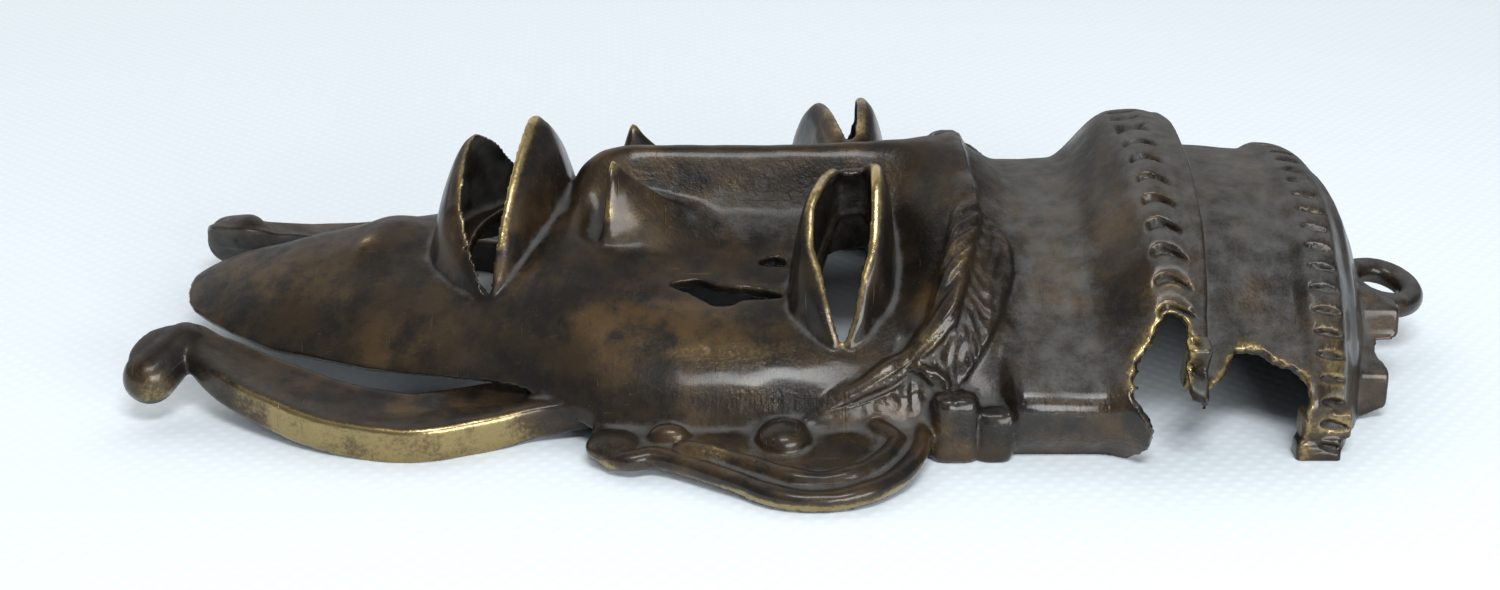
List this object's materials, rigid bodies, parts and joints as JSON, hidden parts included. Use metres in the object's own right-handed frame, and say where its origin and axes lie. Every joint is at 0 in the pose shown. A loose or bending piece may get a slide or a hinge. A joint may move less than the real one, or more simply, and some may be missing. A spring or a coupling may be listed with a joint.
{
  "type": "bronze wall mask",
  "caption": "Cast bronze face mask with a ridged cap, slit eyes, parted lips, curled bars beside the chin and a hanging ring.",
  "frame": {"origin": "centre of the bounding box at the plane the mask lies on, which is the rim of its hollow back", "axes": "+X from the chin to the crown and the hanging ring, +Y towards the mask's far ear, +Z out of the face"},
  "size_m": [0.2386, 0.1326, 0.0456],
  "materials": {
    "bronze": "dark brown patina, worn to yellow metal on the rims, dusty recesses"
  },
  "bodies": {
    "root": {"mask": "bronze"}
  },
  "joints": []
}
